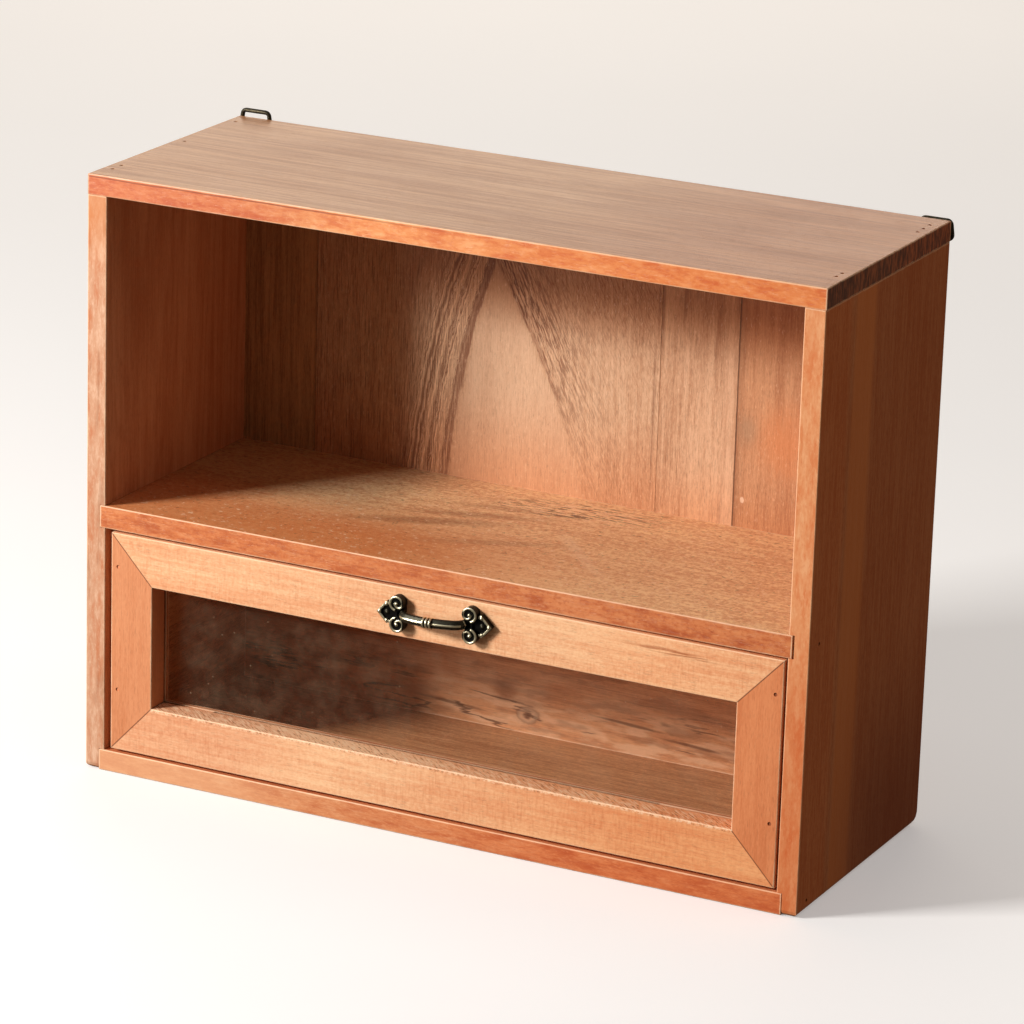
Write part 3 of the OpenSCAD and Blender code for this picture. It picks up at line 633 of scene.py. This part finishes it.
def dress_cathedral():
    """The second back board: brown streaks at the left, the pale figure, and torn woolly grain,
    with painted shade over the shelf and a painted shadow of the top.
    """
    wood = Wood("back_board_2", "Z", srgb(218, 176, 142), srgb(185, 137, 103), ring=2.4,
                streaks=0.3, fibres=0.5, fuzz=0.6, pith=(-20, 60))
    g = wood.g
    wood.shade(srgb(246, 240, 230), g.x.span(-60, -95))
    wood.mark(SOOT, g.x.span(-50, -90) * wood.fibre.rise(0.50, 0.66) * 0.4)
    flank, aside = flank_distance(g)
    flank = flank + (wood.stretched(14, 3, 8, detail=4, roughness=0.6) - 0.5) * (4 * MM)
    left, right = aside.span(2, -2), aside.span(-2, 2)
    # Lines that follow the left flank, and a dark one right beside it
    lines = g.noise(flank / (2.8 * MM), detail=4, roughness=0.7) + (wood.fibre - 0.5) * 0.4
    near_left = flank.span(0, 2) * flank.span(40, 18) * left
    wood.mark(srgb(112, 62, 36), near_left * lines.rise(0.47, 0.60) * 0.7)
    wood.mark(srgb(242, 196, 156), near_left * lines.rise(0.48, 0.36) * 0.6)
    wood.mark(srgb(118, 66, 40),
              flank.span(0, 1) * flank.span(6, 3) * left * g.z.span(150, 230) * 0.5)
    # Torn grain at the right flank, deeper towards the top
    leaning = g.turned(WOOLLY_TILT)
    wool = wood.stretched(9, 1.0, 17, detail=4, roughness=0.7, at=leaning)
    near_right = flank.span(-0.5, 1.5) * flank.span(46, 4) * right
    deep = near_right * g.z.span(150, 240)
    wood.mark(srgb(112, 66, 42), (deep * 0.8 + near_right * 0.15) * wool.rise(0.44, 0.60))
    wood.mark(srgb(240, 196, 158), near_right * wool.rise(0.42, 0.32) * 0.45)
    # The figure's outline and its pale middle
    wood.mark(srgb(134, 80, 52), flank.span(-0.5, 1) * flank.span(4, 1.5)
              * (left + right * g.z.span(165, 205)) * 0.35)
    wood.mark(srgb(214, 172, 140), flank.span(0, -3) * 0.5)
    hair = wood.stretched(5, 0.8, 23, detail=3, roughness=0.65, at=leaning)
    beside = aside.span(4, 12) * flank.span(0, 6)
    wood.mark(srgb(150, 92, 60),
              beside * hair.rise(0.50, 0.62) * (g.z.span(190, 270) * 0.4 + 0.15))
    # Painted shade at the foot of the board, over the shelf
    wood.shade((0.94, 0.70, 0.56), shelf_shade_zone(g, 200))
    wood.shade((1.04, 1.09, 1.12), inside(g) * g.z.span(240, 215))
    # Painted shadow of the top panel on the board's upper end
    wood.shade(TOP_SHADOW_TINT, top_shadow_zone(g) * g.x.span(-105, -80))
    seam = (g.x - CATHEDRAL_SEAM * MM + (wood.stretched(40, 12, 9) - 0.5) * (5 * MM)).abs()
    wood.mark(srgb(120, 72, 46), seam.span(1.8, 0.3) * wood.streak.rise(0.35, 0.6) * 0.6)
    wood.flecks(0.22, 0.18)
    wood.worn = 0
    wood.finish(0.16)


def dress_back():
    """The four upright boards of the back. Their arrises are in joints and have no wear."""
    plain = Wood("back_board_1", "Z", srgb(198, 150, 104), srgb(141, 96, 60), streaks=0.6,
                 pith=(8, 25))
    joint(plain, plain.high.x, 0.25)
    plain.worn = 0
    plain.finish()

    dress_cathedral()

    third = Wood("back_board_3", "Z", srgb(222, 180, 146), srgb(176, 126, 92), ring=2.2,
                 streaks=0.5, pith=(-14, 30), fuzz=0.5)
    g = third.g
    # Painted shade at the foot of the board, over the shelf
    third.shade((0.96, 0.78, 0.66), shelf_shade_zone(g, 180))
    third.mark(srgb(236, 192, 158), g.x.span(86, 89) * 0.2)
    third.mark(srgb(128, 76, 48),
               third.stretched(60, 3, 24, detail=3).rise(0.54, 0.66) * g.z.span(200, 250) * 0.5)
    # Painted shadow of the top panel on the board's upper end
    third.shade(TOP_SHADOW_TINT, top_shadow_zone(g))
    third.flecks(0.2, 0.2)
    third.worn = 0
    third.finish(0.14)

    last = Wood("back_board_4", "Z", srgb(212, 158, 118), srgb(172, 114, 78), streaks=0.4,
                fuzz=0.45, pith=(20, 40))
    g = last.g
    for colour, centre, size, soft, amount in (
            (srgb(218, 136, 84), (122, 190), (12, 16), 1.6, 0.55),
            (srgb(158, 132, 106), (101, 194), (5, 7), 1.6, 0.45),
            (srgb(246, 216, 190), (100, 157), (1.1, 1.5), 0.5, 0.7)):
        last.mark(colour, last.blob(centre, size, soft=soft) * amount)
    last.mark(srgb(120, 72, 46), g.x.span(102, 95.5) * 0.3)
    # Painted shade at the foot of the board, over the shelf
    last.shade((0.96, 0.84, 0.74), shelf_shade_zone(g, 170))
    # Painted shadow of the top panel on the board's upper end
    last.shade(TOP_SHADOW_TINT, top_shadow_zone(g))
    last.flecks(0.2, 0.2)
    joint(last, last.low.x)
    last.worn = 0
    last.finish()


# ---------- drawer ----------

# The drawer front's outer and window corners in X and Z, which its mitres join
FRONT_OUTER = {"left": -185.2, "right": 187.6, "top": 129.3, "bottom": 13.0}
FRONT_WINDOW = {"left": -161.2, "right": 163.6, "top": 103.7, "bottom": 38.6}


def line_distance(g, p, q):
    """Signed distance in the XZ plane from the line through two points."""
    dx, dz = q[0] - p[0], q[1] - p[1]
    length = math.hypot(dx, dz)
    return (g.x * dz - g.z * dx) / length - (p[0] * dz - p[1] * dx) / length * MM


def mark_mitres(wood, corners):
    """Thin dark joint lines at the mitres of a frame member."""
    for side, level in corners:
        away = line_distance(wood.g, (FRONT_OUTER[side], FRONT_OUTER[level]),
                             (FRONT_WINDOW[side], FRONT_WINDOW[level])).abs()
        wood.mark(srgb(96, 48, 24), away.span(0.45, 0.1) * 0.8)


def start_rail(level):
    """A horizontal member of the drawer front, with faint marks of the planer across it."""
    rail = Wood(f"drawer_{level}_rail", "X", srgb(255, 207, 162), srgb(232, 158, 112), streaks=0.3,
                fibres=0.28, fuzz=0.5, pith=(30, 90), fibre=(22, 0.8), grit=(1.6, 1.1))
    chatter = rail.g.noise(rail.g.place((900, 300, 110), rail.shift), detail=3, roughness=0.65)
    rail.shade(srgb(214, 170, 140),
               chatter.rise(0.47, 0.70) * (rail.tone.rise(0.38, 0.56) * 0.20 + 0.08))
    rail.mark(CREAM, chatter.rise(0.44, 0.32) * 0.08)
    mark_mitres(rail, (("left", level), ("right", level)))
    return rail


def dress_rails():
    """The top rail has a brown stain at the right, and the bottom one a torn lip at the window."""
    top = start_rail("top")
    top.shade((1.08, 1.03, 0.98), top.g.x.span(40, 130))
    stain = top.blob((130, 122.6), (21, 1.3), tilt=-2, soft=1.2)
    top.mark(srgb(172, 88, 42), stain * top.fibre.rise(0.36, 0.56) * 0.8)
    top.finish(0.08)

    bottom = start_rail("bottom")
    g = bottom.g
    bottom.shade((1.0, 0.77, 0.60), g.x.span(-60, 160))
    bottom.shade((0.92, 0.84, 0.84), g.x.span(-60, -120))
    lip = (g.z - FRONT_WINDOW["bottom"] * MM).abs() + (g.y - FRONT * MM).most(0) * 0.12
    torn = g.noise(g.place((760, 210, 900), bottom.shift, g.skewed(1.2)), detail=4, roughness=0.7)
    bottom.mark(CREAM, lip.span(2.2, 0.8) * torn.rise(0.48, 0.60) * 0.9)
    bottom.mark(srgb(120, 60, 32), lip.span(2.2, 0.8) * torn.rise(0.46, 0.36) * 0.7)
    bottom.finish(0.08)


def dress_drawer_back():
    """It has brown clouds, a paler foot, cracks, three dark splits and a knot."""
    back = Wood("drawer_back", "X", srgb(240, 182, 136), srgb(202, 136, 94), streaks=0.4,
                fibres=0.6, fibre=(26, 0.45), pith=(60, 10))
    back.shade((0.98, 0.92, 0.86), 1)
    low = back.g.z.span(52, 30)
    back.mark(srgb(252, 206, 166), low * back.stretched(22, 5, 25, detail=4).rise(0.44, 0.60) * 0.6)
    back.mark(srgb(150, 92, 58), back.stretched(26, 5, 26, detail=4).rise(0.50, 0.66) * 0.45)
    back.cracks(srgb(96, 50, 28), length=70, width=7,
                amount=low * back.stretched(30, 12, 27).rise(0.47, 0.56) * 0.8)
    for centre, size in (((-53.5, 25), (16, 0.8)), ((50, 32), (18, 0.8)), ((86, 27), (15, 0.8))):
        back.mark(srgb(100, 52, 30), back.blob(centre, size, tilt=-3) * 0.7)
    back.mark(srgb(120, 66, 38), back.blob((-21.6, 38), (6, 4.6), soft=1.8) * 0.6)
    back.knot((-8.4, 26), (8, 5), srgb(104, 56, 32), 0.75)
    back.finish()


def dress_drawer():
    dress_rails()
    dress_drawer_back()
    for side, pale, dark in (("left", srgb(226, 152, 108), srgb(204, 124, 80)),
                             ("right", srgb(238, 152, 102), srgb(214, 122, 74))):
        stile = Wood(f"drawer_{side}_stile", "Z", pale, dark, streaks=0.25, fibres=0.35,
                     pith=(30, 60))
        mark_mitres(stile, ((side, "top"), (side, "bottom")))
        stile.finish(0.08)
    for part, grain in (("left_side", "Y"), ("right_side", "Y"), ("bottom", "X")):
        Wood(f"drawer_{part}", grain, srgb(224, 166, 118), srgb(166, 108, 70), streaks=0.4,
             fibres=0.5, fuzz=0.7).finish()
    for side, grain in (("top", "X"), ("bottom", "X"), ("left", "Z"), ("right", "Z")):
        Wood(f"bead_{side}", grain, srgb(214, 140, 94), srgb(176, 100, 60)).finish()


# ---------- metal and glass ----------

# The pointiness between which a small piece's hollows end, and between which its ridges begin
HOLLOW = (0.44, 0.50)
RUBBED = (0.52, 0.60)
PATINA_METAL = 0.8             # how metallic the patina is; rubbed metal is wholly so
ROUNDING = 0.6                 # the radius to which light sees the metal's edges rounded
JET = srgb(14, 12, 10)         # the dark of the handle's hollows
HANDLE_MIDDLE, HANDLE_TILT = (1.2, 117.3), 1.8
SCROLL_FACE, LOBE_FACE, BOW_AXIS = 4.2, 2.4, 9.6    # how far they stand ahead of FRONT
BOW_END, LOBE_START, COLLAR_END = 17.5, 24.4, 2.8   # how far they are from the handle's middle
COLLAR_CREST = 2.5             # the radius above which the collar's beads are rubbed
BOW_EDGE = 1.9                 # how far under the bow's axis its lower edge runs


def handle_relief(g):
    """How far a point of the handle is on a crest, and how far in a recess, told from its place.
    The fields in here count millimetres."""
    tilt = math.radians(HANDLE_TILT)
    x, z = g.x / MM - HANDLE_MIDDLE[0], g.z / MM - HANDLE_MIDDLE[1]
    along = (x * math.cos(tilt) + z * math.sin(tilt)).abs()
    height = z * math.cos(tilt) - x * math.sin(tilt)
    up = height.abs()
    ahead = FRONT - g.y / MM
    bow = along.rise(BOW_END, BOW_END - 1)
    lobe = along.rise(LOBE_START, LOBE_START + 0.4)
    scroll = (1 - bow) * (1 - lobe)
    collar = along.rise(COLLAR_END, COLLAR_END - 0.2)
    round_axis = ((ahead - BOW_AXIS).power(2) + up.power(2)).sqrt()
    ridge = up.rise(0.8, 0.3) + (height + BOW_EDGE).abs().rise(0.4, 0.1) * 0.45
    crest = (bow * (1 - collar) * ridge
             + collar * round_axis.rise(COLLAR_CREST, COLLAR_CREST + 0.25)
             + (scroll * ahead.rise(SCROLL_FACE + 0.3, SCROLL_FACE + 0.55)
                * ahead.rise(SCROLL_FACE + 1.2, SCROLL_FACE + 0.9))
             + lobe * ahead.rise(LOBE_FACE + 0.6, LOBE_FACE + 1.0) * 0.75)
    recess = (scroll * ahead.rise(SCROLL_FACE + 0.3, SCROLL_FACE)
              + lobe * ahead.rise(LOBE_FACE + 0.5, LOBE_FACE)
              + collar * round_axis.rise(COLLAR_CREST, COLLAR_CREST - 0.3)
              + ahead.rise(2.2, 0.6))
    return crest, recess


def small_relief(g):
    """The same for a pin, a ring or its plate, told from how its mesh is curved."""
    bulge = Field(g, g.add("ShaderNodeNewGeometry").outputs["Pointiness"])
    return bulge.rise(*RUBBED), 1 - bulge.rise(*HOLLOW)


def cast_metal(node, hollow, flat, ridge, relief=small_relief):
    """Antique bronze: near black in the hollows and rubbed to pale brass on the crests."""
    g = Graph(node)
    grime = g.even_noise(900, detail=4, roughness=0.6)
    crest, recess = relief(g)
    rubbed = (crest + (grime - 0.5) * 0.5).rise(0.35, 0.8)
    ground = g.mix(g.mix(hollow, flat, grime.rise(0.30, 0.50)), hollow, recess)
    rounded = g.add("ShaderNodeBevel", samples=6)
    rounded.inputs["Radius"].default_value = ROUNDING * MM
    g.surface(g.mix(ground, ridge, rubbed), 0.44 - rubbed * 0.08,
              g.bump(grime, 0.08 * MM, 0.3, rounded.outputs[0]),
              Metallic=rubbed * (1 - PATINA_METAL) + PATINA_METAL)
    assign(node, g.material)


def dress_metal():
    """Bronze for the handle, its pins and the hangers, and rust for brads and screws. The drawer
    front's brads are set under a filler, brown at the right and as the wood at the left."""
    cast_metal("handle", JET, srgb(46, 44, 35), srgb(218, 211, 182), handle_relief)
    cast_metal("handle_pins", JET, srgb(46, 43, 34), srgb(150, 144, 122))
    for node in ("left_hanger", "right_hanger", "left_ring", "right_ring"):
        cast_metal(node, srgb(20, 17, 13), srgb(48, 43, 32), srgb(118, 108, 82))
    for node in ("top_brads", "end_brads", "back_brads", "drawer_back_brads", "panel_pins",
                 "hanger_screws"):
        g = Graph(node)
        rust = g.mix(srgb(46, 36, 28), srgb(96, 70, 50), g.even_noise(700, detail=4))
        g.surface(rust, roughness=0.6, Metallic=1.0)
        assign(node, g.material)
    g = Graph("front_brads")
    stained = g.mix(srgb(128, 70, 40), srgb(168, 100, 62), g.even_noise(700, detail=4))
    g.surface(g.mix(srgb(216, 140, 96), stained, g.x.span(-10, 10)), roughness=0.6)
    assign("front_brads", g.material)


def dress_glass():
    """A clear pane with a thin film of dust that the key light catches."""
    g = Graph("glass_pane")
    film = g.even_noise(90, detail=6, roughness=0.7).rise(0.35, 0.75) * 0.05 + 0.016
    specks = g.cells(120).rise(0.06, 0.03)
    dust = g.principled(srgb(188, 158, 130), roughness=0.12, Specular_IOR_Level=0.5)
    clear = g.add("ShaderNodeBsdfTransparent")
    pane = g.add("ShaderNodeMixShader")
    g.put_all(pane.inputs, (film + specks * 0.3, clear.outputs[0], dust.outputs[0]))
    g.output(pane)
    assign("glass_pane", g.material)


make_camera()
make_lights()
make_world()
make_floor()
dress_left_side()
dress_right_side()
dress_top()
dress_shelf()
dress_bottom()
dress_back()
dress_drawer()
dress_metal()
dress_glass()
